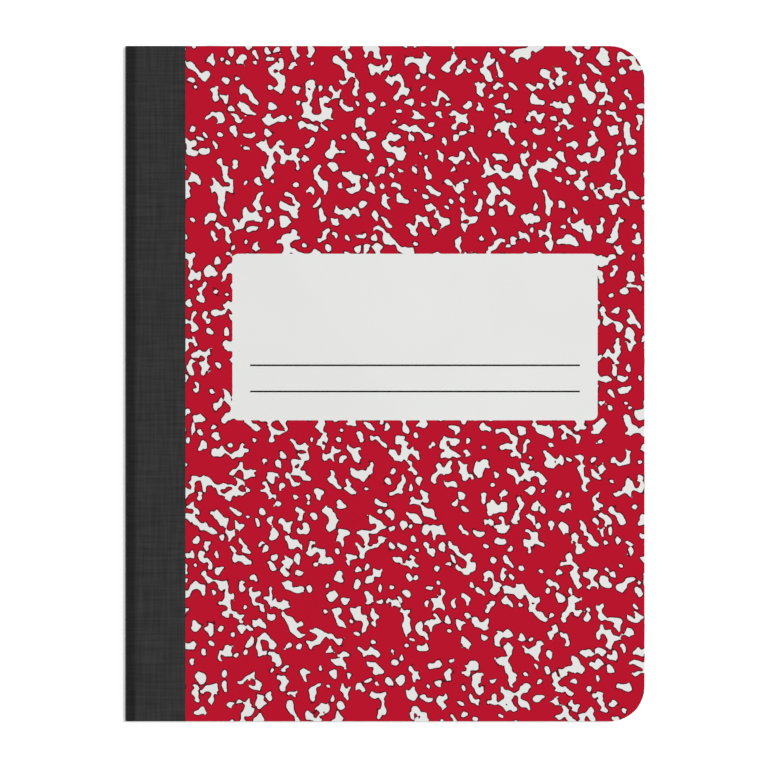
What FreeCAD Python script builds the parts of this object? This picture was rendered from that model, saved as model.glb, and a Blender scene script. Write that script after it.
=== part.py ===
import FreeCAD, Part
import Sketcher
import math
import os
import random

# Composition notebook lying on its back cover.
# X runs from the spine to the fore edge, Y from tail to head, Z up.
# The origin is the middle of the face that lies on the table.

DIMENSIONS = [
    ("book_width", 190.5),
    ("book_height", 247.65),
    ("corner_radius", 12.7),
    ("folio_count", 50),
    ("leaf_thickness", 0.08),
    ("cover_thickness", 0.8),
    ("facing_thickness", 0.15),
    ("lay_clearance", 0.05),
    ("spine_corner_radius", 2.6),
    ("spine_bow_radius", 12),
    ("crease_offset", 0.3),
    ("crease_clearance", 0.2),
    ("hinge_clearance", 0.1),
    ("tape_width", 22.2),
    ("thread_diameter", 0.5),
    ("thread_clearance", 0.05),
    ("stitch_pitch", 20),
    ("stitch_end_inset", 12),
    ("label_side_margin", 17.2),
    ("label_height", 61),
    ("label_head_margin", 76.2),
    ("label_corner_radius", 2.2),
    ("line_inset", 6.5),
    ("line_thickness", 0.6),
    ("line_pitch", 9.6),
    ("line_tail_margin", 10.5),
    ("speck_pitch", 16.6),
    ("speck_spacing", 1.6),
    ("speck_width", 8),
]

FRONT_SEED = 11
BACK_SEED = 29
SMALLEST_SPECK = 0.72
THREAD_SIDES = 6

# A bent blot as shares of its half length and half width, turned round its middle.
SPECK_OUTLINE = [(1.0, 0.1), (0.4, 0.95), (-0.35, 0.7), (-1.0, -0.1), (-0.35, -0.95), (0.3, -0.4)]

doc = FreeCAD.newDocument("composition_notebook")
sheet = doc.addObject("Spreadsheet::Sheet", "dims")
size = {}
for row, (word, number) in enumerate(DIMENSIONS, start=1):
    sheet.set("A%d" % row, word)
    sheet.set("B%d" % row, str(number))
    sheet.setAlias("B%d" % row, word)
doc.recompute()
for word, number in DIMENSIONS:
    size[word] = float(getattr(sheet, word))

half_width = size["book_width"] / 2
half_height = size["book_height"] / 2
pages_thickness = 2 * size["folio_count"] * size["leaf_thickness"]
board_depth = size["facing_thickness"] + size["cover_thickness"]
pages_depth = board_depth + size["lay_clearance"]
thickness = pages_thickness + 2 * pages_depth
middle = thickness / 2

# The spine's outside is three tangent arcs: a corner, a shallow bow, a corner.
bow_reach = size["spine_bow_radius"] - size["spine_corner_radius"]
corner_rise = middle - size["spine_corner_radius"]
bow_centre_x = -half_width + size["spine_bow_radius"]
corner_centre_x = bow_centre_x - math.sqrt(bow_reach ** 2 - corner_rise ** 2)
bow_angle = math.atan2(corner_rise, bow_centre_x - corner_centre_x)

# The covers start just past the place where the spine's corner becomes flat.
crease_x = corner_centre_x + size["crease_offset"]
spine_card_x = crease_x - size["crease_clearance"] / 2
board_x = crease_x + size["crease_clearance"] / 2
tape_x = -half_width + size["tape_width"]

# Heights in expressions, as the sheet's own words.
PAGES = "(2 * dims.folio_count * dims.leaf_thickness)"
BOARD_DEPTH = "(dims.facing_thickness + dims.cover_thickness)"
THICKNESS = "(%s + 2 * (%s + dims.lay_clearance))" % (PAGES, BOARD_DEPTH)
LINE_LENGTH = "dims.book_width - dims.tape_width - 2 * (dims.label_side_margin + dims.line_inset)"


def origin_plane(body, role):
    for feature in body.Origin.OriginFeatures:
        if feature.Role == role:
            return feature
    raise RuntimeError("no plane " + role)


def new_sketch(body, name, role):
    sketch = body.newObject("Sketcher::SketchObject", name)
    sketch.AttachmentSupport = [(origin_plane(body, role), "")]
    sketch.MapMode = "FlatFace"
    return sketch


def arc(centre_x, centre_z, radius, start, end):
    circle = Part.Circle(FreeCAD.Vector(centre_x, centre_z, 0), FreeCAD.Vector(0, 0, 1), radius)
    return Part.ArcOfCircle(circle, start, end)


def line(x_1, y_1, x_2, y_2):
    return Part.LineSegment(FreeCAD.Vector(x_1, y_1, 0), FreeCAD.Vector(x_2, y_2, 0))


def spine_arcs(depth):
    """The head-on arcs of the spine at a depth under its outside, from top to bottom."""
    corner = size["spine_corner_radius"] - depth
    bow = size["spine_bow_radius"] - depth
    turn = math.pi - bow_angle
    top = arc(corner_centre_x, middle + corner_rise, corner, math.pi / 2, turn)
    back = arc(bow_centre_x, middle, bow, turn, 2 * math.pi - turn)
    bottom = arc(corner_centre_x, middle - corner_rise, corner, 2 * math.pi - turn, 3 * math.pi / 2)
    return [top, back, bottom]


def bind_radii(sketch, first, depth_words):
    """Tie the three arcs that start at this index to the sheet."""
    words = ["dims.spine_corner_radius", "dims.spine_bow_radius", "dims.spine_corner_radius"]
    for step, word in enumerate(words):
        index = first + step
        constraint = sketch.addConstraint(
            Sketcher.Constraint("Radius", index, sketch.Geometry[index].Radius))
        sketch.setExpression("Constraints[%d]" % constraint, word + depth_words)


def pad_along_book(body, name, sketch):
    pad = body.newObject("PartDesign::Pad", name)
    pad.Profile = sketch
    pad.SideType = "Symmetric"
    pad.setExpression("Length", "dims.book_height")
    return pad


def wrapped_card(label, outer_depth, inner_depth, end_x, outer_words, inner_words):
    """A strip of even thickness that goes round the spine and lies on both faces."""
    body = doc.addObject("PartDesign::Body", label)
    sketch = new_sketch(body, label + "_section", "XZ_Plane")
    sketch.addGeometry(line(end_x, thickness - outer_depth, corner_centre_x, thickness - outer_depth))
    sketch.addGeometry(spine_arcs(outer_depth))
    sketch.addGeometry(line(corner_centre_x, outer_depth, end_x, outer_depth))
    sketch.addGeometry(line(end_x, outer_depth, end_x, inner_depth))
    sketch.addGeometry(line(end_x, inner_depth, corner_centre_x, inner_depth))
    sketch.addGeometry(spine_arcs(inner_depth))
    sketch.addGeometry(line(corner_centre_x, thickness - inner_depth, end_x, thickness - inner_depth))
    sketch.addGeometry(line(end_x, thickness - inner_depth, end_x, thickness - outer_depth))
    bind_radii(sketch, 1, outer_words)
    bind_radii(sketch, 7, inner_words)
    pad_along_book(body, label + "_strip", sketch)
    return body


def rounded_plan(sketch, left, right, low, high, radius):
    """A plate's outline: square at the spine, rounded at the fore edge."""
    quarter = math.pi / 2
    sketch.addGeometry(line(left, low, right - radius, low))
    sketch.addGeometry(arc(right - radius, low + radius, radius, 3 * quarter, 4 * quarter))
    sketch.addGeometry(line(right, low + radius, right, high - radius))
    sketch.addGeometry(arc(right - radius, high - radius, radius, 0, quarter))
    sketch.addGeometry(line(right - radius, high, left, high))
    sketch.addGeometry(line(left, high, left, low))
    for index in range(6):
        ends = (index, 2, (index + 1) % 6, 1)
        if index == 2:
            ends = (2, 2, 3, 1)
        sketch.addConstraint(Sketcher.Constraint("Coincident", *ends))
    for index in (1, 3):
        corner = sketch.addConstraint(Sketcher.Constraint("Radius", index, radius))
        sketch.setExpression("Constraints[%d]" % corner, "dims.corner_radius")


def plate(label, left, thickness_words, base_words):
    """A flat plate from an x to the fore edge, with the notebook's rounded corners."""
    body = doc.addObject("PartDesign::Body", label)
    sketch = new_sketch(body, label + "_outline", "XY_Plane")
    rounded_plan(sketch, left, half_width, -half_height, half_height, size["corner_radius"])
    sketch.setExpression("AttachmentOffset.Base.z", base_words)
    pad = body.newObject("PartDesign::Pad", label + "_plate")
    pad.Profile = sketch
    pad.setExpression("Length", thickness_words)
    return body


def make_pages():
    """The sewn block: folded sheets nested in one gathering, rounded at the fold."""
    section = doc.addObject("PartDesign::Body", "pages_section")
    sketch = new_sketch(section, "pages_profile", "XZ_Plane")
    top = thickness - pages_depth
    sketch.addGeometry(line(half_width, top, corner_centre_x, top))
    sketch.addGeometry(spine_arcs(pages_depth))
    sketch.addGeometry(line(corner_centre_x, pages_depth, half_width, pages_depth))
    sketch.addGeometry(line(half_width, pages_depth, half_width, top))
    bind_radii(sketch, 1, " - %s - dims.lay_clearance" % BOARD_DEPTH)
    pad_along_book(section, "pages_length", sketch)
    plan = plate("pages_plan", -half_width, THICKNESS, "0")
    trimmed = doc.addObject("Part::Common", "pages_trimmed")
    trimmed.Base = section
    trimmed.Tool = plan
    pages = doc.addObject("Part::Cut", "page_block")
    pages.Base = trimmed
    pages.Tool = sewing("needle_holes", size["thread_clearance"], " + dims.thread_clearance")
    return pages


def sewing_run(label, x_place, reach, half_length, words):
    """A straight run of thread along the fold."""
    run = doc.addObject("Part::Prism", label)
    run.Polygon = THREAD_SIDES
    run.Circumradius = reach
    run.setExpression("Circumradius", words)
    run.Height = 2 * half_length
    start = FreeCAD.Vector(x_place, -half_length, middle)
    run.Placement = FreeCAD.Placement(start, FreeCAD.Rotation(FreeCAD.Vector(1, 0, 0), -90))
    return run


def sewing(label, clearance, clearance_words):
    """A run outside the fold, a run in the centre of the book, and the stitches between them."""
    thread_radius = size["thread_diameter"] / 2
    reach = thread_radius + clearance
    words = "dims.thread_diameter / 2" + clearance_words
    outer_x = -half_width + pages_depth + thread_radius
    inner_x = -half_width + pages_depth + pages_thickness / 2
    stitched = half_height - size["stitch_end_inset"]
    count = max(1, round(2 * stitched / size["stitch_pitch"]))
    pitch = 2 * stitched / count
    run_half = stitched + reach
    pieces = [
        sewing_run(label + "_outside", outer_x, reach, run_half, words),
        sewing_run(label + "_centre", inner_x, reach, run_half, words),
    ]
    for index in range(count + 1):
        stitch = doc.addObject("Part::Prism", "%s_%02d" % (label, index))
        stitch.Polygon = THREAD_SIDES
        stitch.Circumradius = reach
        stitch.setExpression("Circumradius", words + " - dims.thread_clearance / 2")
        stitch.Height = inner_x - outer_x
        place = FreeCAD.Vector(outer_x, -stitched + index * pitch, middle)
        turned = FreeCAD.Rotation(FreeCAD.Vector(0, 1, 0), 90)
        stitch.Placement = FreeCAD.Placement(place, turned)
        pieces.append(stitch)
    joined = doc.addObject("Part::MultiFuse", label)
    joined.Shapes = pieces
    return joined


def label_box():
    """The label lies midway between the tape and the fore edge."""
    left = tape_x + size["label_side_margin"]
    right = half_width - size["label_side_margin"]
    high = half_height - size["label_head_margin"]
    return (left, right, high - size["label_height"], high)


def rounded_rectangle(left, right, low, high, radii):
    """A closed wire at z 0; radii are those of the spine side and of the fore-edge side."""
    spine_radius, fore_radius = radii
    quarter = math.pi / 2
    corners = [
        (right - fore_radius, low + fore_radius, fore_radius, 3 * quarter),
        (right - fore_radius, high - fore_radius, fore_radius, 0),
        (left + spine_radius, high - spine_radius, spine_radius, quarter),
        (left + spine_radius, low + spine_radius, spine_radius, 2 * quarter),
    ]
    edges = []
    ends = []
    for centre_x, centre_y, radius, start in corners:
        first = FreeCAD.Vector(centre_x + radius * math.cos(start), centre_y + radius * math.sin(start))
        stop = start + quarter
        last = FreeCAD.Vector(centre_x + radius * math.cos(stop), centre_y + radius * math.sin(stop))
        if ends:
            edges.append(Part.LineSegment(ends[-1], first).toShape())
        ends += [first, last]
        if radius > 0:
            edges.append(arc(centre_x, centre_y, radius, start, stop).toShape())
    edges.append(Part.LineSegment(ends[-1], ends[0]).toShape())
    return Part.Wire(edges)


def speck_wire(centre, reach, turn, flip):
    half_wide = min(size["speck_width"] / 2, reach)
    points = []
    for share_long, share_wide in SPECK_OUTLINE:
        along = share_long * reach
        across = share_wide * half_wide * flip
        if math.hypot(along, across) > reach:
            across = math.copysign(math.sqrt(max(reach ** 2 - along ** 2, 0)), across)
        x_place = centre[0] + along * math.cos(turn) - across * math.sin(turn)
        y_place = centre[1] + along * math.sin(turn) + across * math.cos(turn)
        points.append(FreeCAD.Vector(x_place, y_place, 0))
    return Part.makePolygon(points + points[:1])


def clear_of_corners(x_place, y_place, reach):
    radius = size["corner_radius"]
    past_x = x_place - (half_width - radius)
    past_y = abs(y_place) - (half_height - radius)
    if past_x <= 0 or past_y <= 0:
        return True
    return math.hypot(past_x, past_y) + reach + size["speck_spacing"] / 2 < radius


def clear_of_window(x_place, y_place, reach, window):
    if window is None:
        return True
    left, right, low, high = window
    margin = reach + size["speck_spacing"]
    beside = x_place < left - margin or x_place > right + margin
    return beside or y_place < low - margin or y_place > high + margin


def specks(seed, window):
    """White blots in a loose grid, each turned and sized by chance inside its own cell."""
    chance = random.Random(seed)
    left = tape_x
    across = max(1, int((half_width - left) / size["speck_pitch"]))
    along = max(1, int(2 * half_height / size["speck_pitch"]))
    cell_x = (half_width - left) / across
    cell_y = 2 * half_height / along
    room = (min(cell_x, cell_y) - size["speck_spacing"]) / 2
    wires = []
    for column in range(across):
        for row in range(along):
            reach = room * chance.uniform(SMALLEST_SPECK, 1)
            slack = room - reach
            x_place = left + (column + 0.5) * cell_x + chance.uniform(-slack, slack)
            y_place = -half_height + (row + 0.5) * cell_y + chance.uniform(-slack, slack)
            turn = chance.uniform(0, 2 * math.pi)
            flip = chance.choice((-1, 1))
            wire = speck_wire((x_place, y_place), reach, turn, flip)
            open_here = clear_of_window(x_place, y_place, reach, window)
            if open_here and clear_of_corners(x_place, y_place, reach):
                wires.append(wire)
    return wires


def make_print(label, seed, window, base_z):
    """The red field of a marbled cover; the white card shows through its openings."""
    outline = rounded_rectangle(tape_x, half_width, -half_height, half_height, (0, size["corner_radius"]))
    openings = specks(seed, window)
    if window is not None:
        radius = size["label_corner_radius"]
        openings.append(rounded_rectangle(*window, (radius, radius)))
    field = Part.makeFace([outline] + openings, "Part::FaceMakerBullseye")
    layer = doc.addObject("Part::Feature", label)
    layer.Shape = field.extrude(FreeCAD.Vector(0, 0, size["facing_thickness"]))
    layer.Placement = FreeCAD.Placement(FreeCAD.Vector(0, 0, base_z), FreeCAD.Rotation())
    return layer


def make_label_lines():
    """Two black writing lines in the label, as thick as the printed facing."""
    left, right, low, high = label_box()
    rules = []
    for index in range(2):
        rule = doc.addObject("Part::Box", "writing_line_%d" % (index + 1))
        rule.setExpression("Length", LINE_LENGTH)
        rule.setExpression("Width", "dims.line_thickness")
        rule.setExpression("Height", "dims.facing_thickness")
        y_place = low + size["line_tail_margin"] + index * size["line_pitch"] - size["line_thickness"] / 2
        corner = FreeCAD.Vector(left + size["line_inset"], y_place, thickness - size["facing_thickness"])
        rule.Placement = FreeCAD.Placement(corner, FreeCAD.Rotation())
        rules.append(rule)
    pair = doc.addObject("Part::Compound", "label_lines")
    pair.Links = rules
    return pair


def write_parts(parts):
    doc.recompute()
    for item in doc.Objects:
        if "Invalid" in item.State or "Error" in item.State:
            raise RuntimeError("%s did not build: %s" % (item.Name, item.State))
    os.makedirs("parts", exist_ok=True)
    for part in parts:
        shape = part.Shape
        if shape.isNull() or not shape.isValid() or shape.Volume <= 0:
            raise RuntimeError("%s has no sound shape" % part.Label)
        print("%-16s solids %d volume %.1f mm3" % (part.Label, len(shape.Solids), shape.Volume))
        shape.exportStep("parts/%s.step" % part.Label)


front_board_base = "%s - %s" % (THICKNESS, BOARD_DEPTH)
spine_words = " - dims.facing_thickness"
inner_words = " - %s" % BOARD_DEPTH

write_parts([
    make_pages(),
    sewing("binding_thread", 0, ""),
    wrapped_card("cover_spine", size["facing_thickness"], board_depth, spine_card_x, spine_words, inner_words),
    plate("front_cover", board_x, "dims.cover_thickness", front_board_base),
    plate("back_cover", board_x, "dims.cover_thickness", "dims.facing_thickness"),
    wrapped_card("spine_tape", 0, size["facing_thickness"], tape_x, "", spine_words),
    make_print("front_print", FRONT_SEED, label_box(), thickness - size["facing_thickness"]),
    make_print("back_print", BACK_SEED, None, 0),
    make_label_lines(),
])
print("hinge axis x %.4f, front z %.4f, back z %.4f" % (
    -half_width - size["hinge_clearance"],
    thickness - size["facing_thickness"] - size["cover_thickness"] / 2,
    size["facing_thickness"] + size["cover_thickness"] / 2))
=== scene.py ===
import math

import bpy
import numpy as np
from bpy.props import FloatProperty, FloatVectorProperty, IntProperty, PointerProperty
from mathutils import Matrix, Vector


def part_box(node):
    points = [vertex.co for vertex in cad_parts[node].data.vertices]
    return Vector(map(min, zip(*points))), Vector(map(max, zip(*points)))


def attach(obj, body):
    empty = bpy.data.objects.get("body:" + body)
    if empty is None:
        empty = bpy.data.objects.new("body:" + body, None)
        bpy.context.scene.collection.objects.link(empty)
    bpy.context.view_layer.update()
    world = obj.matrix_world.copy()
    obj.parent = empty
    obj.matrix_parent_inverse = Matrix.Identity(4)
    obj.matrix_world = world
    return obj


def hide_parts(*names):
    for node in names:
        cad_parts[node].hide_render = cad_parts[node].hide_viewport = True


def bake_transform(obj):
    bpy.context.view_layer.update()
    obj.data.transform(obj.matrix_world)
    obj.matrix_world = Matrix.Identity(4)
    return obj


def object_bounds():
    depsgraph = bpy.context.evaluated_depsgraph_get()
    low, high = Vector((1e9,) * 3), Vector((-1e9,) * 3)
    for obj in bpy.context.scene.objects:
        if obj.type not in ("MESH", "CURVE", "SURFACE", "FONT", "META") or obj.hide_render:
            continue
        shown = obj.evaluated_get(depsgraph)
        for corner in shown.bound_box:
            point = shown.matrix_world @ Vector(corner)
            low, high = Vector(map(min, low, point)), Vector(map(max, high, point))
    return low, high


bl_info = {
    "name": "Composition Notebook",
    "version": (1, 0, 0),
    "blender": (4, 5, 0),
    "location": "View3D > Sidebar > Notebook",
    "description": "Builds a sewn composition notebook with marbled covers and a cloth spine",
    "category": "Add Mesh",
}

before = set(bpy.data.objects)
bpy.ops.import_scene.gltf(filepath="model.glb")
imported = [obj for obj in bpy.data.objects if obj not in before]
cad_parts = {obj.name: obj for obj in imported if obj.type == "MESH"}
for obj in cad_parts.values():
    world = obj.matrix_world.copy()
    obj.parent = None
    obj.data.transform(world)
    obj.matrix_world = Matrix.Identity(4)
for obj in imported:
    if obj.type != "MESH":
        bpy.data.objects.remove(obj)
BOX_LOW, BOX_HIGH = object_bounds()
PAGES_LOW, PAGES_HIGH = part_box("page_block")
FRONT_LOW, FRONT_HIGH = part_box("front_cover")
BACK_LOW, BACK_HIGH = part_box("back_cover")
PRINT_LOW, PRINT_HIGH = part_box("front_print")
MIDDLE_Z = (BOX_LOW.z + BOX_HIGH.z) / 2


def screen(red, green, blue):
    """A colour read off a screen, 0 to 255, as linear light."""
    parts = [value / 255 for value in (red, green, blue)]
    return tuple(v / 12.92 if v <= 0.04045 else ((v + 0.055) / 1.055) ** 2.4 for v in parts)


def length(name, description, default):
    return FloatProperty(name=name, description=description, default=default, unit="LENGTH", precision=5)


def colour(name, description, default):
    return FloatVectorProperty(
        name=name, description=description, default=default, subtype="COLOR", size=3, min=0, max=1)


class NotebookSizes(bpy.types.PropertyGroup):
    corner_radius: length("Corner Radius", "Radius of the two corners at the fore edge", 0.0127)
    corner_steps: IntProperty(name="Corner Steps", description="Straight steps in a rounded corner", default=10)
    card_edge: length("Card Edge", "Softening of the cut edges of the covers", 0.00008)
    paint_depth: length("Paint Depth", "How far the paint stands over the white card", 0.00001)
    paint_sink: length("Paint Sink", "How far the paint lies below the tape", 0.00004)
    tape_thickness: length("Tape Thickness", "Thickness of the spine tape", 0.00014)
    crease_dip: length("Crease Dip", "Depth of the crease beside the spine", 0.00006)
    crease_width: length("Crease Width", "Width of the crease beside the spine", 0.0009)
    folio_count: IntProperty(name="Sheets", description="Folded sheets in the gathering", default=50)
    leaf_thickness: length("Leaf Thickness", "Thickness of a sheet of paper", 0.000068)
    rule_pitch: length("Rule Pitch", "Distance between the ruled lines", 0.0071)
    rule_width: length("Rule Width", "Width of a ruled line", 0.00022)
    rule_depth: length("Rule Depth", "Thickness of the ruled lines", 0.000008)
    head_margin: length("Head Margin", "Bare paper above the first ruled line", 0.0290)
    spine_margin: length("Spine Margin", "Distance of the margin line from the fold", 0.0318)


class MarblingLook(bpy.types.PropertyGroup):
    blot_spacing: length("Blot Spacing", "Distance between neighbouring blots", 0.0051)
    network_spacing: length("Network Spacing", "Distance between the branching blots", 0.013)
    cut_spacing: length("Cut Spacing", "Distance between the streaks that cut blots to points", 0.0054)
    cut_share: FloatProperty(name="Uncut", description="Share of the cover that no streak crosses", default=0.62)
    drift_spacing: length("Drift Spacing", "Distance between crowded and open stretches", 0.025)
    network_share: FloatProperty(name="Networks", description="How strongly blots join up", default=0.8)
    drift_share: FloatProperty(name="Drift", description="How unevenly blots are spread", default=0.3)
    white_share: FloatProperty(name="White", description="Share of the cover left white", default=0.228)
    slant: FloatProperty(name="Slant", description="Direction that blots lean in", default=0.6, subtype="ANGLE")
    stretch: FloatProperty(name="Stretch", description="How long blots are along the slant", default=1.15)
    rim_width: length("Rim Width", "Width of the dark rim round a blot", 0.00044)
    grid_step: length("Grid Step", "Fineness of the blots' outlines", 0.0006)
    front_seed: IntProperty(name="Front Seed", description="Layout of the front cover's blots", default=5)
    back_seed: IntProperty(name="Back Seed", description="Layout of the back cover's blots", default=17)


class NotebookColours(bpy.types.PropertyGroup):
    red: colour("Red", "Paint of the covers", screen(182, 3, 38))
    rim: colour("Rim", "Dark rim round the blots", screen(96, 8, 26))
    white: colour("White", "Bare card of the covers", screen(228, 229, 227))
    card: colour("Card", "Cut edges of the covers", screen(205, 203, 196))
    tape: colour("Tape", "Cloth tape of the spine", screen(49, 49, 49))
    page: colour("Page", "Paper of the pages", screen(232, 231, 224))
    rule_blue: colour("Rule", "Ruled lines", screen(120, 160, 205))
    rule_red: colour("Margin", "Margin line", screen(216, 120, 130))
    thread: colour("Thread", "Sewing thread", screen(225, 222, 210))
    line_ink: colour("Line Ink", "Writing lines of the label", screen(20, 20, 22))


def settings():
    scene = bpy.context.scene
    return scene.notebook_sizes, scene.notebook_marbling, scene.notebook_colours


# Modelling helpers.

def leave_edit_mode():
    if bpy.context.object and bpy.context.object.mode != "OBJECT":
        bpy.ops.object.mode_set(mode="OBJECT")


def select_only(*pieces):
    leave_edit_mode()
    bpy.ops.object.select_all(action="DESELECT")
    for piece in pieces:
        piece.select_set(True)
    bpy.context.view_layer.objects.active = pieces[-1]


def new_plane(name, left, right, low, high, height):
    """A flat four-cornered face, its place in its mesh."""
    leave_edit_mode()
    bpy.ops.object.select_all(action="DESELECT")
    bpy.ops.mesh.primitive_plane_add(size=1, location=((left + right) / 2, (low + high) / 2, height))
    piece = bpy.context.object
    piece.name = name
    piece.data.name = name
    piece.scale = (right - left, high - low, 1)
    bpy.ops.object.transform_apply(location=True, rotation=True, scale=True)
    return piece


def places(piece):
    """The vertices' places as rows of x, y, z."""
    flat = np.empty(len(piece.data.vertices) * 3)
    piece.data.vertices.foreach_get("co", flat)
    return flat.reshape(-1, 3)


def set_places(piece, rows):
    piece.data.vertices.foreach_set("co", rows.ravel())
    piece.data.update()


def edit_vertices(piece, chosen):
    """Opens the piece in edit mode with only these vertices selected."""
    select_only(piece)
    bpy.ops.object.mode_set(mode="EDIT")
    bpy.ops.mesh.select_mode(type="VERT")
    bpy.ops.mesh.select_all(action="DESELECT")
    bpy.ops.object.mode_set(mode="OBJECT")
    piece.data.vertices.foreach_set("select", np.asarray(chosen, dtype=bool))
    bpy.ops.object.mode_set(mode="EDIT")


def edit_faces(piece, chosen):
    """Opens the piece in edit mode with only these faces selected."""
    select_only(piece)
    bpy.ops.object.mode_set(mode="EDIT")
    bpy.ops.mesh.select_mode(type="FACE")
    bpy.ops.mesh.select_all(action="DESELECT")
    bpy.ops.object.mode_set(mode="OBJECT")
    piece.data.polygons.foreach_set("select", np.asarray(chosen, dtype=bool))
    bpy.ops.object.mode_set(mode="EDIT")


def face_centres(piece):
    flat = np.empty(len(piece.data.polygons) * 3)
    piece.data.polygons.foreach_get("center", flat)
    return flat.reshape(-1, 3)


def face_normals(piece):
    flat = np.empty(len(piece.data.polygons) * 3)
    piece.data.polygons.foreach_get("normal", flat)
    return flat.reshape(-1, 3)


def extrude_all(piece, rise):
    """Gives an open flat sheet its thickness and closes it."""
    select_only(piece)
    bpy.ops.object.mode_set(mode="EDIT")
    bpy.ops.mesh.select_mode(type="FACE")
    bpy.ops.mesh.select_all(action="SELECT")
    bpy.ops.mesh.extrude_region_move(TRANSFORM_OT_translate={"value": (0, 0, rise)})
    bpy.ops.mesh.select_all(action="SELECT")
    bpy.ops.mesh.normals_make_consistent(inside=False)
    bpy.ops.object.mode_set(mode="OBJECT")


def apply_modifier(piece, kind, **values):
    select_only(piece)
    modifier = piece.modifiers.new(kind.title(), kind)
    for name, value in values.items():
        setattr(modifier, name, value)
    bpy.ops.object.modifier_apply(modifier=modifier.name)


def finish_piece(piece, body, materials, replaced=()):
    """Smooths the piece, gives it its materials and joins it to its body."""
    select_only(piece)
    bpy.ops.object.shade_smooth_by_angle(angle=math.radians(35))
    while len(piece.data.materials) < len(materials):
        piece.data.materials.append(None)
    for index, material in enumerate(materials):
        piece.data.materials[index] = material
    if replaced:
        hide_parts(*replaced)
    if body:
        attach(piece, body)


def round_fore_corners(piece, right, radius, steps):
    """Rounds the plan's corners at the fore edge."""
    edit_vertices(piece, places(piece)[:, 0] > right - radius / 2)
    bpy.ops.mesh.bevel(offset=radius, segments=steps, profile=0.5, affect="VERTICES")
    bpy.ops.object.mode_set(mode="OBJECT")


# Shader groups.

def new_group(name, inputs, outputs):
    group = bpy.data.node_groups.new(name, "ShaderNodeTree")
    for title, kind, default in inputs:
        socket = group.interface.new_socket(name=title, in_out="INPUT", socket_type=kind)
        socket.default_value = default
    for title, kind in outputs:
        group.interface.new_socket(name=title, in_out="OUTPUT", socket_type=kind)
    return group


def add_node(tree, kind, **values):
    node = tree.nodes.new(kind)
    for name, value in values.items():
        setattr(node, name, value)
    return node


def math_node(tree, operation, first, second=None):
    node = add_node(tree, "ShaderNodeMath", operation=operation)
    for socket, value in zip(node.inputs, (first, second)):
        if value is None:
            continue
        if isinstance(value, (int, float)):
            socket.default_value = value
        else:
            tree.links.new(value, socket)
    return node.outputs[0]


def fibre_group():
    """Paper and card: long fibres and broad clouds, as a shade near one and a height."""
    group = bpy.data.node_groups.get("Fibre")
    if group:
        return group
    group = new_group(
        "Fibre",
        [("Fibre Size", "NodeSocketFloat", 0.0008), ("Contrast", "NodeSocketFloat", 0.05),
         ("Cloud Size", "NodeSocketFloat", 0.03)],
        [("Shade", "NodeSocketFloat"), ("Height", "NodeSocketFloat")])
    start = add_node(group, "NodeGroupInput")
    end = add_node(group, "NodeGroupOutput")
    place = add_node(group, "ShaderNodeTexCoord")
    fine = add_node(group, "ShaderNodeTexNoise", noise_dimensions="3D")
    fine.inputs["Detail"].default_value = 3
    broad = add_node(group, "ShaderNodeTexNoise", noise_dimensions="3D")
    broad.inputs["Detail"].default_value = 1
    group.links.new(place.outputs["Object"], fine.inputs["Vector"])
    group.links.new(place.outputs["Object"], broad.inputs["Vector"])
    group.links.new(math_node(group, "DIVIDE", 1, start.outputs["Fibre Size"]), fine.inputs["Scale"])
    group.links.new(math_node(group, "DIVIDE", 1, start.outputs["Cloud Size"]), broad.inputs["Scale"])
    both = math_node(group, "ADD", fine.outputs["Fac"], broad.outputs["Fac"])
    centred = math_node(group, "SUBTRACT", both, 1)
    swing = math_node(group, "MULTIPLY", centred, start.outputs["Contrast"])
    group.links.new(math_node(group, "ADD", swing, 1), end.inputs["Shade"])
    group.links.new(fine.outputs["Fac"], end.inputs["Height"])
    return group


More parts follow.
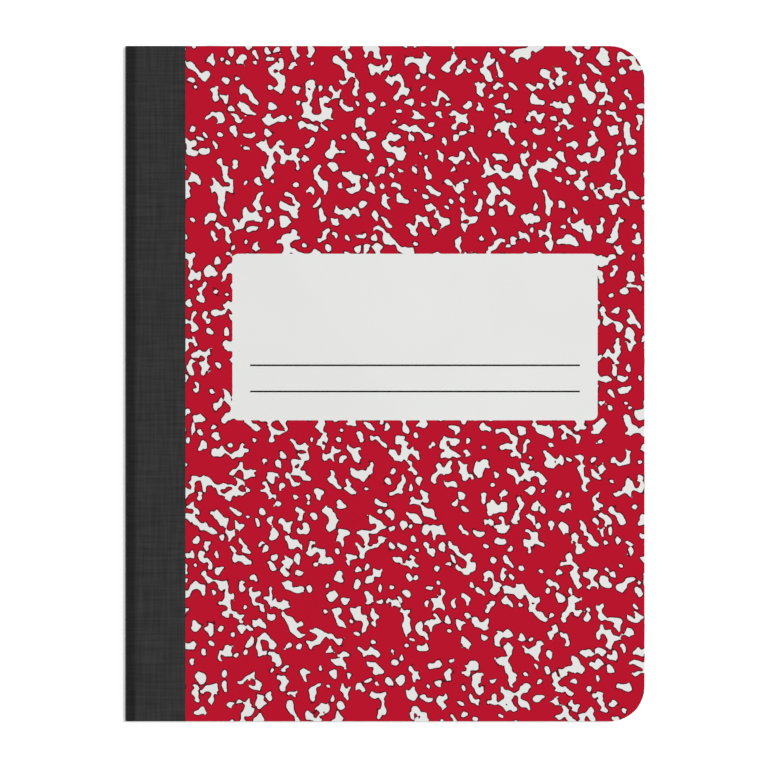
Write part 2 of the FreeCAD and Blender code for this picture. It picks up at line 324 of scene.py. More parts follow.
def weave_group():
    """Plain cloth: warp and weft threads that pass over and under, as a height and a shade; the shade holds uneven yarn
    and painted shade between the threads.
    """
    group = bpy.data.node_groups.get("Weave")
    if group:
        return group
    group = new_group(
        "Weave",
        [("Along", "NodeSocketFloat", 0), ("Across", "NodeSocketFloat", 0), ("Thread Pitch", "NodeSocketFloat", 0.0005),
         ("Slub", "NodeSocketFloat", 0.5)],
        [("Height", "NodeSocketFloat"), ("Shade", "NodeSocketFloat")])
    start = add_node(group, "NodeGroupInput")
    end = add_node(group, "NodeGroupOutput")
    turns = []
    for title in ("Along", "Across"):
        count = math_node(group, "DIVIDE", start.outputs[title], start.outputs["Thread Pitch"])
        turns.append(math_node(group, "MULTIPLY", count, math.pi))
    warp = math_node(group, "ABSOLUTE", math_node(group, "SINE", turns[0]))
    weft = math_node(group, "ABSOLUTE", math_node(group, "SINE", turns[1]))
    parity = math_node(group, "MULTIPLY", math_node(group, "SINE", turns[0]), math_node(group, "SINE", turns[1]))
    over = math_node(group, "GREATER_THAN", parity, 0)
    under = math_node(group, "SUBTRACT", 1, over)
    warp_part = math_node(group, "MULTIPLY", warp, over)
    weft_part = math_node(group, "MULTIPLY", weft, under)
    height = math_node(group, "ADD", warp_part, weft_part)
    place = add_node(group, "ShaderNodeCombineXYZ")
    stretched = math_node(group, "MULTIPLY", start.outputs["Along"], 0.06)
    group.links.new(stretched, place.inputs[0])
    group.links.new(start.outputs["Across"], place.inputs[1])
    slub = add_node(group, "ShaderNodeTexNoise", noise_dimensions="3D")
    slub.inputs["Scale"].default_value = 900
    group.links.new(place.outputs[0], slub.inputs["Vector"])
    crossed = add_node(group, "ShaderNodeCombineXYZ")
    narrowed = math_node(group, "MULTIPLY", start.outputs["Across"], 0.06)
    group.links.new(start.outputs["Along"], crossed.inputs[0])
    group.links.new(narrowed, crossed.inputs[1])
    streak = add_node(group, "ShaderNodeTexNoise", noise_dimensions="3D")
    streak.inputs["Scale"].default_value = 900
    group.links.new(crossed.outputs[0], streak.inputs["Vector"])
    grain = math_node(group, "ADD", slub.outputs["Fac"], streak.outputs["Fac"])
    uneven = math_node(group, "MULTIPLY", math_node(group, "SUBTRACT", grain, 1), start.outputs["Slub"])
    # Painted shade: the cloth is darker between the threads and lighter on their crowns.
    body = math_node(group, "ADD", math_node(group, "MULTIPLY", height, 0.3), 0.85)
    group.links.new(math_node(group, "ADD", body, uneven), end.inputs["Shade"])
    group.links.new(math_node(group, "ADD", height, uneven), end.inputs["Height"])
    return group


# Materials.

def new_material(name, roughness, specular=0.5):
    material = bpy.data.materials.new(name)
    material.use_nodes = True
    shader = material.node_tree.nodes["Principled BSDF"]
    shader.inputs["Roughness"].default_value = roughness
    shader.inputs["Specular IOR Level"].default_value = specular
    return material, material.node_tree, shader


def shaded_colour(tree, tint, shade, target):
    """The tint times a shade that changes over the surface."""
    mix = add_node(tree, "ShaderNodeMix", data_type="RGBA", blend_type="MULTIPLY")
    mix.inputs["Factor"].default_value = 1
    mix.inputs["A"].default_value = (*tint, 1)
    grey = add_node(tree, "ShaderNodeCombineColor")
    for channel in grey.inputs:
        tree.links.new(shade, channel)
    tree.links.new(grey.outputs[0], mix.inputs["B"])
    tree.links.new(mix.outputs["Result"], target)


def bump(tree, shader, height, depth, strength=1.0):
    node = add_node(tree, "ShaderNodeBump")
    node.inputs["Strength"].default_value = strength
    node.inputs["Distance"].default_value = depth
    tree.links.new(height, node.inputs["Height"])
    tree.links.new(node.outputs["Normal"], shader.inputs["Normal"])


def fibre_material(name, tint, roughness, fibre_size, contrast, depth, specular=0.5):
    """Paper, card and what is printed on them."""
    material = bpy.data.materials.get(name)
    if material:
        return material
    material, tree, shader = new_material(name, roughness, specular)
    fibre = add_node(tree, "ShaderNodeGroup", node_tree=fibre_group())
    fibre.inputs["Fibre Size"].default_value = fibre_size
    fibre.inputs["Contrast"].default_value = contrast
    shaded_colour(tree, tint, fibre.outputs["Shade"], shader.inputs["Base Color"])
    bump(tree, shader, fibre.outputs["Height"], depth)
    return material


# Painted shade: the cloth over the rounded spine is darkened to FOLD_SHADE of its colour, back to full between
# FOLD_SHADE_START and FOLD_SHADE_END from the spine's middle.
FOLD_SHADE = 0.5
FOLD_SHADE_START = 0.0066
FOLD_SHADE_END = 0.0084


def tape_material(tint):
    """Black book cloth with fine threads both ways, darkened over the rounded spine by painted shade."""
    material = bpy.data.materials.get("Spine Cloth")
    if material:
        return material
    material, tree, shader = new_material("Spine Cloth", 0.8, 0.1)
    route = add_node(tree, "ShaderNodeUVMap", uv_map="cloth")
    parts = add_node(tree, "ShaderNodeSeparateXYZ")
    tree.links.new(route.outputs["UV"], parts.inputs[0])
    weave = add_node(tree, "ShaderNodeGroup", node_tree=weave_group())
    weave.inputs["Thread Pitch"].default_value = 0.00052
    weave.inputs["Slub"].default_value = 0.9
    tree.links.new(parts.outputs["X"], weave.inputs["Across"])
    tree.links.new(parts.outputs["Y"], weave.inputs["Along"])
    # Painted shade over the rounded spine: the cloth's colour is scaled down near the spine's middle.
    painted_fold_shade = add_node(tree, "ShaderNodeMapRange", interpolation_type="SMOOTHSTEP")
    run = math_node(tree, "ABSOLUTE", parts.outputs["X"])
    tree.links.new(run, painted_fold_shade.inputs["Value"])
    painted_fold_shade.inputs["From Min"].default_value = FOLD_SHADE_START
    painted_fold_shade.inputs["From Max"].default_value = FOLD_SHADE_END
    painted_fold_shade.inputs["To Min"].default_value = FOLD_SHADE
    painted_fold_shade.inputs["To Max"].default_value = 1
    shade = math_node(tree, "MULTIPLY", weave.outputs["Shade"], painted_fold_shade.outputs["Result"])
    shaded_colour(tree, tint, shade, shader.inputs["Base Color"])
    bump(tree, shader, weave.outputs["Height"], 0.00006)
    return material


def paint_material(colours):
    return fibre_material("Red Paint", colours.red, 0.7, 0.0012, 0.06, 0.000004, 0.1)


def rim_material(colours):
    return fibre_material("Dark Rim", colours.rim, 0.7, 0.0012, 0.06, 0.000004, 0.1)


def card_material(colours):
    return fibre_material("White Card", colours.white, 0.7, 0.0010, 0.03, 0.000004, 0.1)


def edge_material(colours):
    return fibre_material("Card Edge", colours.card, 0.85, 0.0003, 0.16, 0.00002, 0.2)


def page_material(colours):
    return fibre_material("Page Paper", colours.page, 0.8, 0.0006, 0.05, 0.000006, 0.25)


def blue_material(colours):
    return fibre_material("Ruled Blue", colours.rule_blue, 0.8, 0.0006, 0.12, 0.000002, 0.2)


def pink_material(colours):
    return fibre_material("Margin Red", colours.rule_red, 0.8, 0.0006, 0.12, 0.000002, 0.2)


def thread_material(colours):
    return fibre_material("Sewing Thread", colours.thread, 0.75, 0.0003, 0.2, 0.00003, 0.3)


def line_material(colours):
    return fibre_material("Line Ink", colours.line_ink, 0.7, 0.0008, 0.08, 0.000003, 0.1)


# The marbled paint.

def band_of_noise(chance, shape, step, spacing, width, look):
    """A smooth random field whose hills lie about this far apart."""
    along_y = np.fft.fftfreq(shape[0], step)[:, None]
    along_x = np.fft.fftfreq(shape[1], step)[None, :]
    leaning = along_x * math.cos(look.slant) + along_y * math.sin(look.slant)
    crossing = (along_y * math.cos(look.slant) - along_x * math.sin(look.slant)) * look.stretch
    rate = np.maximum(np.hypot(leaning, crossing), 1e-9)
    gain = np.exp(-np.log(rate * spacing) ** 2 / (2 * width ** 2))
    field = np.real(np.fft.ifft2(np.fft.fft2(chance.standard_normal(shape)) * gain))
    return field / field.std()


def blot_distance(look, seed, shape, step):
    """Roughly how far each point lies inside a white blot, below zero in the paint."""
    chance = np.random.RandomState(seed)
    blots = band_of_noise(chance, shape, step, look.blot_spacing, 0.38, look)
    networks = band_of_noise(chance, shape, step, look.network_spacing, 0.35, look)
    drift = band_of_noise(chance, shape, step, look.drift_spacing, 0.3, look)
    field = blots + look.network_share * networks + look.drift_share * drift
    streaks = band_of_noise(chance, shape, step, look.cut_spacing, 0.3, look)
    streaks = 1.5 * (streaks - np.quantile(streaks, 1 - look.cut_share))
    low, high = field.min(), field.max()
    for _ in range(24):
        middle = (low + high) / 2
        share = np.mean(np.minimum(field - middle, streaks) > 0)
        low, high = (middle, high) if share > look.white_share else (low, middle)
    distance = edge_distance(np.minimum(field - middle, streaks))
    return np.where(deepest_near(distance) < SMALLEST_BLOT, -REACH, distance) * step


SMALLEST_BLOT = 1.4


def deepest_near(distance):
    """The greatest depth of a blot within reach of each point."""
    deepest = distance
    for axis in (0, 1):
        row = deepest
        for move in range(-REACH, REACH + 1):
            deepest = np.maximum(deepest, np.roll(row, move, axis))
    return deepest


REACH = 4


def edge_distance(field):
    """Distance in grid steps to the field's zero line, below zero where the field is."""
    inside = field > 0
    slope = np.hypot(*np.gradient(field))
    near = np.abs(field) / np.maximum(slope, 1e-9)
    far = np.full(field.shape, float(REACH))
    for axis in (0, 1):
        ahead = np.roll(field, -1, axis)
        crossed = inside != (ahead > 0)
        share = np.where(crossed, field / np.where(crossed, field - ahead, 1), 2.0 * REACH)
        for down in range(-REACH, REACH + 1):
            for right in range(-REACH, REACH + 1):
                moved = np.roll(share, (-down, -right), (0, 1))
                along, across = (down, right) if axis == 0 else (right, down)
                far = np.minimum(far, np.hypot(moved + along, across))
    distance = np.where(near < 0.7, near, np.sqrt(np.maximum(far ** 2 - 0.07, 0)))
    return np.where(inside, distance, -distance)


def window_distance(window, radius, x_rows, y_rows):
    """How far a point lies inside a window with rounded corners, below zero outside it."""
    left, right, low, high = window
    past_x = np.abs(x_rows - (left + right) / 2) - ((right - left) / 2 - radius)
    past_y = np.abs(y_rows - (low + high) / 2) - ((high - low) / 2 - radius)
    outside = np.hypot(np.maximum(past_x, 0), np.maximum(past_y, 0))
    inside = np.minimum(np.maximum(past_x, past_y), 0)
    return radius - outside - inside


def paint_heights(piece, look, seed, step, window, window_radius):
    """Lifts every point of the flat grid by its distance into a blot, and returns those distances."""
    rows = places(piece)
    fine = step / 2
    columns = 2 * np.rint((rows[:, 0] - rows[:, 0].min()) / step).astype(int)
    lines = 2 * np.rint((rows[:, 1] - rows[:, 1].min()) / step).astype(int)
    spare = int(look.blot_spacing / fine)
    distance = blot_distance(look, seed, (lines.max() + spare, columns.max() + spare), fine)
    lift = distance[lines, columns]
    if window:
        lift = np.maximum(lift, window_distance(window, window_radius, rows[:, 0], rows[:, 1]))
    rows[:, 2] = np.clip(lift, -2 * step, 2 * step)
    set_places(piece, rows)
    return distance


def trim_sheet(piece, right, high, height):
    """Cuts the grid's overhang off at the fore edge and the head."""
    select_only(piece)
    bpy.ops.object.mode_set(mode="EDIT")
    for place, normal in (((right, 0, height), (1, 0, 0)), ((0, high, height), (0, 1, 0))):
        bpy.ops.mesh.select_all(action="SELECT")
        bpy.ops.mesh.bisect(plane_co=place, plane_no=normal, clear_outer=True)
    bpy.ops.object.mode_set(mode="OBJECT")


def cut_corners(piece, right, low, high, height):
    """Trims the square fore corners of the sheet to the cover's rounded ones."""
    sizes, look, colours = settings()
    radius = sizes.corner_radius
    turn = math.pi / 2 / sizes.corner_steps
    select_only(piece)
    bpy.ops.object.mode_set(mode="EDIT")
    for side, centre_y in ((-1, low + radius), (1, high - radius)):
        centre = Vector((right - radius, centre_y, height))
        for step in range(sizes.corner_steps):
            angle = side * (step + 0.5) * turn
            normal = Vector((math.cos(angle), math.sin(angle), 0))
            chord = centre + normal * radius * math.cos(turn / 2)
            bpy.ops.mesh.select_all(action="SELECT")
            bpy.ops.mesh.bisect(plane_co=chord, plane_no=normal, clear_outer=True)
    bpy.ops.object.mode_set(mode="OBJECT")


BLOCK = 12


def join_flat_faces(piece, left, low, step):
    """Merges the grid's small faces within square blocks, paint and rim apart."""
    rows = places(piece)
    ends = np.empty(len(piece.data.edges) * 2, dtype=np.int32)
    piece.data.edges.foreach_get("vertices", ends)
    ends = ends.reshape(-1, 2)
    on_line = np.zeros(len(ends), dtype=bool)
    for axis, start in ((0, left), (1, low)):
        place = (rows[:, axis] - start) / (BLOCK * step)
        line = np.where(np.abs(place - np.rint(place)) < 0.01 / BLOCK, np.rint(place), -1)
        on_line |= (line[ends[:, 0]] >= 0) & (line[ends[:, 0]] == line[ends[:, 1]])
    piece.data.edges.foreach_set("use_seam", on_line)
    select_only(piece)
    bpy.ops.object.mode_set(mode="EDIT")
    bpy.ops.mesh.select_mode(type="FACE")
    bpy.ops.mesh.select_all(action="SELECT")
    bpy.ops.mesh.remove_doubles(threshold=0.000002)
    bpy.ops.mesh.dissolve_limited(angle_limit=math.radians(4), delimit={"MATERIAL", "SEAM"})
    bpy.ops.mesh.select_all(action="SELECT")
    bpy.ops.mesh.mark_seam(clear=True)
    bpy.ops.object.mode_set(mode="OBJECT")


def make_paint(name, seed, height, window, window_radius):
    """A film of paint with the blots left open, and a dark rim round each blot."""
    sizes, look, colours = settings()
    step = look.grid_step * 1
    left, right = PRINT_LOW.x, PRINT_HIGH.x
    low, high = PRINT_LOW.y, PRINT_HIGH.y
    across = math.ceil((right - left) / step)
    along = math.ceil((high - low) / step)
    leave_edit_mode()
    bpy.ops.object.select_all(action="DESELECT")
    bpy.ops.mesh.primitive_grid_add(x_subdivisions=across, y_subdivisions=along, size=1)
    piece = bpy.context.object
    piece.name = name
    piece.data.name = name
    piece.location = (left + across * step / 2, low + along * step / 2, 0)
    piece.scale = (across * step, along * step, 1)
    bpy.ops.object.transform_apply(location=True, rotation=True, scale=True)
    distance = paint_heights(piece, look, seed, step, window, window_radius)
    select_only(piece)
    bpy.ops.object.mode_set(mode="EDIT")
    bpy.ops.mesh.select_all(action="SELECT")
    bpy.ops.mesh.bisect(plane_co=(0, 0, 0), plane_no=(0, 0, 1), clear_outer=True, clear_inner=False)
    bpy.ops.mesh.select_all(action="SELECT")
    bpy.ops.mesh.bisect(plane_co=(0, 0, -look.rim_width), plane_no=(0, 0, 1))
    bpy.ops.object.mode_set(mode="OBJECT")
    piece.data.materials.append(paint_material(colours))
    piece.data.materials.append(rim_material(colours))
    centres = face_centres(piece)
    columns = np.rint((centres[:, 0] - left) / step * 2).astype(int)
    lines = np.rint((centres[:, 1] - low) / step * 2).astype(int)
    by_blot = distance[lines, columns] > -1.2 * look.rim_width
    in_rim = (centres[:, 2] > -look.rim_width) & by_blot
    piece.data.polygons.foreach_set("material_index", in_rim.astype(np.int32))
    rows = places(piece)
    rows[:, 2] = height
    set_places(piece, rows)
    join_flat_faces(piece, left, low, step)
    trim_sheet(piece, right, high, height)
    cut_corners(piece, right, low, high, height)
    return piece


def label_window():
    """The label's box from the two writing lines and the cover."""
    low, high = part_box("label_lines")
    inset = low.x - PRINT_LOW.x - LABEL_SIDE
    left = low.x - inset
    right = high.x + inset
    bottom = low.y - LABEL_FOOT
    return (left, right, bottom, bottom + LABEL_TALL)


LABEL_SIDE = 0.0172
LABEL_FOOT = 0.0102
LABEL_TALL = 0.0610
LABEL_CORNER = 0.0022


class NOTEBOOK_OT_paint(bpy.types.Operator):
    """Lay the marbled red paint on both covers"""
    bl_idname = "notebook.paint"
    bl_label = "Marbled Paint"

    def execute(self, context):
        sizes, look, colours = settings()
        top = BOX_HIGH.z - sizes.paint_sink
        front = make_paint("front_marbling", look.front_seed, top, label_window(), LABEL_CORNER)
        extrude_all(front, -sizes.paint_depth)
        paints = [paint_material(colours), rim_material(colours)]
        finish_piece(front, "front_cover", paints, ["front_print"])
        back = make_paint("back_marbling", look.back_seed, BOX_LOW.z + sizes.paint_sink, None, 0)
        extrude_all(back, sizes.paint_depth)
        finish_piece(back, "back_cover", paints, ["back_print"])
        return {"FINISHED"}


def make_board(name, outside, inside, body, node):
    """A cover board of white card with rounded fore corners and softened cut edges."""
    sizes, look, colours = settings()
    board = new_plane(name, FRONT_LOW.x, FRONT_HIGH.x, FRONT_LOW.y, FRONT_HIGH.y, min(outside, inside))
    round_fore_corners(board, FRONT_HIGH.x, sizes.corner_radius, sizes.corner_steps)
    extrude_all(board, abs(outside - inside))
    apply_modifier(board, "BEVEL", width=sizes.card_edge, segments=2, limit_method="ANGLE",
                   angle_limit=math.radians(40))
    is_side = np.abs(face_normals(board)[:, 2]) < 0.9
    board.data.materials.append(card_material(colours))
    board.data.materials.append(edge_material(colours))
    board.data.polygons.foreach_set("material_index", is_side.astype(np.int32))
    finish_piece(board, body, [card_material(colours), edge_material(colours)], [node])
    return board


class NOTEBOOK_OT_boards(bpy.types.Operator):
    """Cut the two cover boards"""
    bl_idname = "notebook.boards"
    bl_label = "Cover Boards"

    def execute(self, context):
        sizes, look, colours = settings()
        sink = sizes.paint_sink + sizes.paint_depth
        make_board("front_board", BOX_HIGH.z - sink, FRONT_LOW.z, "front_cover", "front_cover")
        make_board("back_board", BOX_LOW.z + sink, BACK_HIGH.z, "back_cover", "back_cover")
        return {"FINISHED"}


FOLD_STEPS = 8
FOLD_SHARE = 0.5


def fold_point(outer, height, turn):
    """A point of a sheet's fold: half an ellipse from the upper leaf round to the lower one."""
    reach = height * FOLD_SHARE
    return outer + reach - reach * math.cos(turn), MIDDLE_Z + height * math.sin(turn)


def make_folio():
    """The outermost sheet, folded once: upper leaf, fold and lower leaf."""
    sizes, look, colours = settings()
    outer = PAGES_LOW.x + sizes.leaf_thickness / 2
    height = (PAGES_HIGH.z - PAGES_LOW.z - sizes.leaf_thickness) / 2
    start_x, start_z = fold_point(outer, height, math.pi / 2)
    folio = new_plane("page_leaves", start_x, PAGES_HIGH.x, PAGES_LOW.y, PAGES_HIGH.y, start_z)
    edit_vertices(folio, places(folio)[:, 0] < start_x + 1e-5)
    last_x, last_z = start_x, start_z
    for step in range(1, FOLD_STEPS + 1):
        x_place, z_place = fold_point(outer, height, math.pi / 2 - step * math.pi / FOLD_STEPS)
        move = (x_place - last_x, 0, z_place - last_z)
        bpy.ops.mesh.extrude_region_move(TRANSFORM_OT_translate={"value": move})
        last_x, last_z = x_place, z_place
    bpy.ops.mesh.extrude_region_move(TRANSFORM_OT_translate={"value": (PAGES_HIGH.x - last_x, 0, 0)})
    bpy.ops.object.mode_set(mode="OBJECT")
    round_fore_corners(folio, PAGES_HIGH.x, sizes.corner_radius, 6)
    return folio, outer, height


def nest_folio(folio, index, outer, height, pitch):
    """A copy of the sheet, folded smaller so that it lies inside the one before."""
    select_only(folio)
    bpy.ops.object.duplicate()
    copy = bpy.context.object
    rows = places(copy)
    smaller = height - index * pitch
    fold_end = outer + height * FOLD_SHARE
    in_fold = rows[:, 0] < fold_end + 1e-6
    new_end = outer + index * pitch + smaller * FOLD_SHARE
    rows[in_fold, 0] = new_end + (rows[in_fold, 0] - fold_end) * smaller / height
    rows[:, 2] = MIDDLE_Z + (rows[:, 2] - MIDDLE_Z) * smaller / height
    set_places(copy, rows)
    return copy


class NOTEBOOK_OT_pages(bpy.types.Operator):
    """Fold and nest the sheets of the gathering"""
    bl_idname = "notebook.pages"
    bl_label = "Pages"

    def execute(self, context):
        sizes, look, colours = settings()
        folio, outer, height = make_folio()
        pitch = height / sizes.folio_count
        copies = [nest_folio(folio, index, outer, height, pitch) for index in range(1, sizes.folio_count)]
        select_only(*copies, folio)
        bpy.ops.object.join()
        pages = bpy.context.object
        apply_modifier(pages, "SOLIDIFY", thickness=sizes.leaf_thickness, offset=0)
        finish_piece(pages, "pages", [page_material(colours)], ["page_block"])
        return {"FINISHED"}


def make_ruling(name, paper_z, rise):
    """The blue lines and the margin line of an outer page."""
    sizes, look, colours = settings()
    first = PAGES_HIGH.y - sizes.head_margin
    count = int((first - PAGES_LOW.y) / sizes.rule_pitch)
    left = PAGES_LOW.x + sizes.spine_margin / 8
    inset = sizes.rule_width
    rules = new_plane(name, left, PAGES_HIGH.x - inset, first - sizes.rule_width, first, paper_z)
    apply_modifier(rules, "ARRAY", count=count, use_relative_offset=False, use_constant_offset=True,
                   constant_offset_displace=(0, -sizes.rule_pitch, 0))
    margin_x = PAGES_LOW.x + sizes.spine_margin
    margin = new_plane(name + "_margin", margin_x, margin_x + sizes.rule_width,
                       PAGES_LOW.y + inset, PAGES_HIGH.y - inset, paper_z)
    extrude_all(rules, rise)
    extrude_all(margin, rise * 1.5)
    rules.data.materials.append(blue_material(colours))
    margin.data.materials.append(pink_material(colours))
    select_only(margin, rules)
    bpy.ops.object.join()
    finish_piece(rules, "pages", [blue_material(colours), pink_material(colours)])
    return rules


class NOTEBOOK_OT_ruling(bpy.types.Operator):
    """Rule the first and the last page"""
    bl_idname = "notebook.ruling"
    bl_label = "Ruled Lines"

    def execute(self, context):
        sizes, look, colours = settings()
        make_ruling("first_page_lines", PAGES_HIGH.z, sizes.rule_depth)
        make_ruling("last_page_lines", PAGES_LOW.z, -sizes.rule_depth)
        return {"FINISHED"}


SPINE_BOW = 0.012
SPINE_CORNER = 0.0026
SPINE_STEPS = 5
CORNER_STEPS = 7


def spine_outline():
    """The outside of half the spine, from its middle round to the face, seen from the tail."""
    half = BOX_HIGH.z - MIDDLE_Z
    reach = SPINE_BOW - SPINE_CORNER
    rise = half - SPINE_CORNER
    bow_x = BOX_LOW.x + SPINE_BOW
    corner_x = bow_x - math.sqrt(reach ** 2 - rise ** 2)
    lean = math.atan2(rise, bow_x - corner_x)
    points = []
    for step in range(SPINE_STEPS):
        angle = math.pi - lean * step / SPINE_STEPS
        points.append((bow_x + SPINE_BOW * math.cos(angle), SPINE_BOW * math.sin(angle)))
    for step in range(CORNER_STEPS + 1):
        angle = math.pi - lean - (math.pi / 2 - lean) * step / CORNER_STEPS
        points.append((corner_x + SPINE_CORNER * math.cos(angle), rise + SPINE_CORNER * math.sin(angle)))
    return points, corner_x, half


def tape_section():
    """The half spine with its crease and the flat part on the cover."""
    sizes, look, colours = settings()
    points, corner_x, half = spine_outline()
    crease_x = corner_x + 0.0003
    points.append((crease_x, half - sizes.crease_dip))
    points.append((crease_x + sizes.crease_width / 2, half - sizes.crease_dip / 3))
    points.append((crease_x + sizes.crease_width, half))
    tape_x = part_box("spine_tape")[1].x
    flat = tape_x - crease_x - sizes.crease_width
    points.append((tape_x - flat / 2, half))
    points.append((tape_x, half))
    return points


def lay_cloth_map(piece, points, side):
    """A map in metres: along the section first, then along the spine."""
    knots = [0.0]
    for first, second in zip(points, points[1:]):
        knots.append(knots[-1] + math.dist(first, second))
    rows = places(piece)
    section = np.array(points)
    flat = np.stack([rows[:, 0], (rows[:, 2] - MIDDLE_Z) * side], axis=1)
    nearest = np.argmin(np.hypot(*(flat[:, None, :] - section[None]).transpose(2, 0, 1)), axis=1)
    run = np.array(knots)[nearest]
    layer = piece.data.uv_layers.new(name="cloth")
    corners = np.empty(len(piece.data.loops), dtype=np.int32)
    piece.data.loops.foreach_get("vertex_index", corners)
    pairs = np.stack([run[corners] * side, rows[corners, 1]], axis=1)
    layer.data.foreach_set("uv", pairs.ravel())


def make_tape_half(name, side, replaced):
    """Half of the cloth tape; side is 1 for the front half and -1 for the back half."""
    sizes, look, colours = settings()
    points = tape_section()
    low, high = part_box("spine_tape")
    last_x, last_z = points[-1]
    tape = new_plane(name, points[-2][0], last_x, low.y, high.y, MIDDLE_Z + last_z * side)
    edit_vertices(tape, places(tape)[:, 0] < (points[-2][0] + last_x) / 2)
    last_x, last_z = points[-2]
    for x_place, z_place in reversed(points[:-2]):
        move = (x_place - last_x, 0, (z_place - last_z) * side)
        bpy.ops.mesh.extrude_region_move(TRANSFORM_OT_translate={"value": move})
        last_x, last_z = x_place, z_place
    bpy.ops.object.mode_set(mode="OBJECT")
    lay_cloth_map(tape, points, side)
    if side < 0:
        edit_faces(tape, np.ones(len(tape.data.polygons)))
        bpy.ops.mesh.flip_normals()
        bpy.ops.object.mode_set(mode="OBJECT")
    apply_modifier(tape, "SOLIDIFY", thickness=sizes.tape_thickness, offset=-1, use_even_offset=True)
    finish_piece(tape, None, [tape_material(colours.tape)], replaced)
    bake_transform(tape)
    return tape


class NOTEBOOK_OT_tape(bpy.types.Operator):
    """Wrap the cloth tape round the spine"""
    bl_idname = "notebook.tape"
    bl_label = "Spine Tape"

    def execute(self, context):
        make_tape_half("tape_front_half", 1, ["spine_tape"])
        make_tape_half("tape_back_half", -1, ["spine_tape"])
        return {"FINISHED"}


def dress(node, material):
    """Gives a node of the frame its finish."""
    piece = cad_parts[node]
    piece.data.materials.clear()
    piece.data.materials.append(material)


class NOTEBOOK_OT_fittings(bpy.types.Operator):
    """Finish the spine card, the sewing thread and the label's writing lines"""
    bl_idname = "notebook.fittings"
    bl_label = "Spine Card, Thread and Lines"

    def execute(self, context):
        sizes, look, colours = settings()
        dress("cover_spine", edge_material(colours))
        dress("binding_thread", thread_material(colours))
        dress("label_lines", line_material(colours))
        return {"FINISHED"}


FRAME_WIDTH = 0.2816
FRAME_SHIFT_X = -0.00027
FRAME_SHIFT_Y = -0.00013
LENS = 600
SENSOR = 36
FLOOR_REACH = 3.0
FLOOR_GLOW = 0.2
FLOOR_GLOW_STRENGTH = 1.8
SKY_STRENGTH = 0.5
SUN_STRENGTH = 1.62
SUN_WIDTH = 3
SUN_SIDE = 0.15
SUN_HEAD = 0.07


def floor_material():
    """A pale floor that reads as white to the lens and keeps the shadow."""
    material, tree, shader = new_material("Pale Floor", 0.9, 0.1)
    fibre = add_node(tree, "ShaderNodeGroup", node_tree=fibre_group())
    fibre.inputs["Contrast"].default_value = 0.01
    shaded_colour(tree, (0.93, 0.93, 0.93), fibre.outputs["Shade"], shader.inputs["Base Color"])
    path = add_node(tree, "ShaderNodeLightPath")
    seen = math_node(tree, "MAXIMUM", path.outputs["Is Camera Ray"], path.outputs["Is Glossy Ray"])
    seen = math_node(tree, "MAXIMUM", seen, path.outputs["Is Transmission Ray"])
    share = math_node(tree, "MULTIPLY", seen, FLOOR_GLOW)
    glow = add_node(tree, "ShaderNodeEmission")
    glow.inputs["Color"].default_value = (1, 1, 1, 1)
    glow.inputs["Strength"].default_value = FLOOR_GLOW_STRENGTH
    mix = add_node(tree, "ShaderNodeMixShader")
    tree.links.new(share, mix.inputs[0])
    tree.links.new(shader.outputs[0], mix.inputs[1])
    tree.links.new(glow.outputs[0], mix.inputs[2])
    tree.links.new(mix.outputs[0], tree.nodes["Material Output"].inputs["Surface"])
    return material


def light_sky():
    """An even white sky; the lens sees it as plain white."""
    world = bpy.data.worlds.new("Studio Sky")
    world.use_nodes = True
    bpy.context.scene.world = world
    tree = world.node_tree
    sky = tree.nodes["Background"]
    sky.inputs["Color"].default_value = (1, 1, 1, 1)
    path = add_node(tree, "ShaderNodeLightPath")
    rest = math_node(tree, "MULTIPLY", path.outputs["Is Camera Ray"], 1 - SKY_STRENGTH)
    tree.links.new(math_node(tree, "ADD", rest, SKY_STRENGTH), sky.inputs["Strength"])


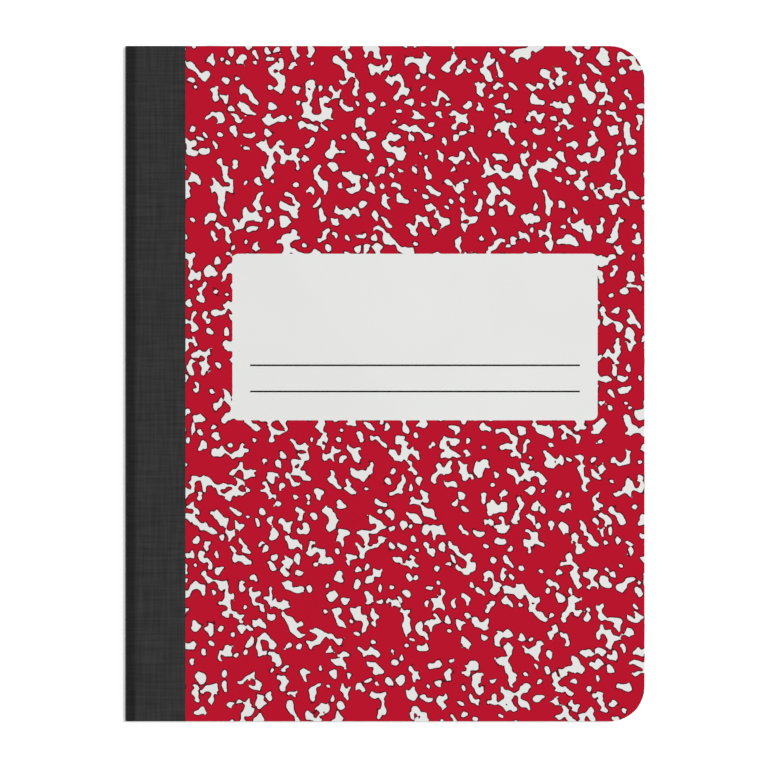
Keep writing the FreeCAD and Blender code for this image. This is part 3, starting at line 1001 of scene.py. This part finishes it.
class NOTEBOOK_OT_stage(bpy.types.Operator):
    """Set the floor, the lamp, the sky and the camera"""
    bl_idname = "notebook.stage"
    bl_label = "Stage"

    def execute(self, context):
        floor = new_plane("floor", -FLOOR_REACH, FLOOR_REACH, -FLOOR_REACH, FLOOR_REACH, BOX_LOW.z)
        floor.data.materials.append(floor_material())
        light_sky()
        leave_edit_mode()
        bpy.ops.object.select_all(action="DESELECT")
        bpy.ops.object.light_add(type="SUN", location=(SUN_SIDE, SUN_HEAD, 1))
        lamp = bpy.context.object
        lamp.name = "high_lamp"
        lamp.data.angle = math.radians(SUN_WIDTH)
        lamp.data.energy = SUN_STRENGTH
        lamp.rotation_euler = Vector((-SUN_SIDE, -SUN_HEAD, -1)).to_track_quat("-Z", "Y").to_euler()
        distance = FRAME_WIDTH * LENS / SENSOR
        place = (FRAME_SHIFT_X, FRAME_SHIFT_Y, BOX_HIGH.z + distance)
        bpy.ops.object.camera_add(location=place, rotation=(0, 0, 0))
        camera = bpy.context.object
        camera.name = "lens_above"
        camera.data.lens = LENS
        camera.data.sensor_width = SENSOR
        camera.data.clip_end = 20
        context.scene.camera = camera
        context.scene.view_settings.view_transform = "Standard"
        return {"FINISHED"}


class NOTEBOOK_PT_panel(bpy.types.Panel):
    bl_idname = "NOTEBOOK_PT_panel"
    bl_label = "Composition Notebook"
    bl_space_type = "VIEW_3D"
    bl_region_type = "UI"
    bl_category = "Notebook"

    def draw(self, context):
        for group in settings():
            box = self.layout.box()
            for name in group.__annotations__:
                box.prop(group, name)
        for operator in OPERATORS:
            self.layout.operator(operator.bl_idname)


GROUPS = (NotebookSizes, MarblingLook, NotebookColours)
OPERATORS = (
    NOTEBOOK_OT_stage,
    NOTEBOOK_OT_pages,
    NOTEBOOK_OT_ruling,
    NOTEBOOK_OT_boards,
    NOTEBOOK_OT_paint,
    NOTEBOOK_OT_tape,
    NOTEBOOK_OT_fittings,
)


def register():
    for item in (*GROUPS, *OPERATORS, NOTEBOOK_PT_panel):
        bpy.utils.register_class(item)
    bpy.types.Scene.notebook_sizes = PointerProperty(type=NotebookSizes)
    bpy.types.Scene.notebook_marbling = PointerProperty(type=MarblingLook)
    bpy.types.Scene.notebook_colours = PointerProperty(type=NotebookColours)


def unregister():
    del bpy.types.Scene.notebook_colours
    del bpy.types.Scene.notebook_marbling
    del bpy.types.Scene.notebook_sizes
    for item in reversed((*GROUPS, *OPERATORS, NOTEBOOK_PT_panel)):
        bpy.utils.unregister_class(item)


def main():
    register()
    bpy.ops.notebook.stage()
    bpy.ops.notebook.pages()
    bpy.ops.notebook.ruling()
    bpy.ops.notebook.boards()
    bpy.ops.notebook.paint()
    bpy.ops.notebook.tape()
    bpy.ops.notebook.fittings()


if __name__ == "__main__":
    main()
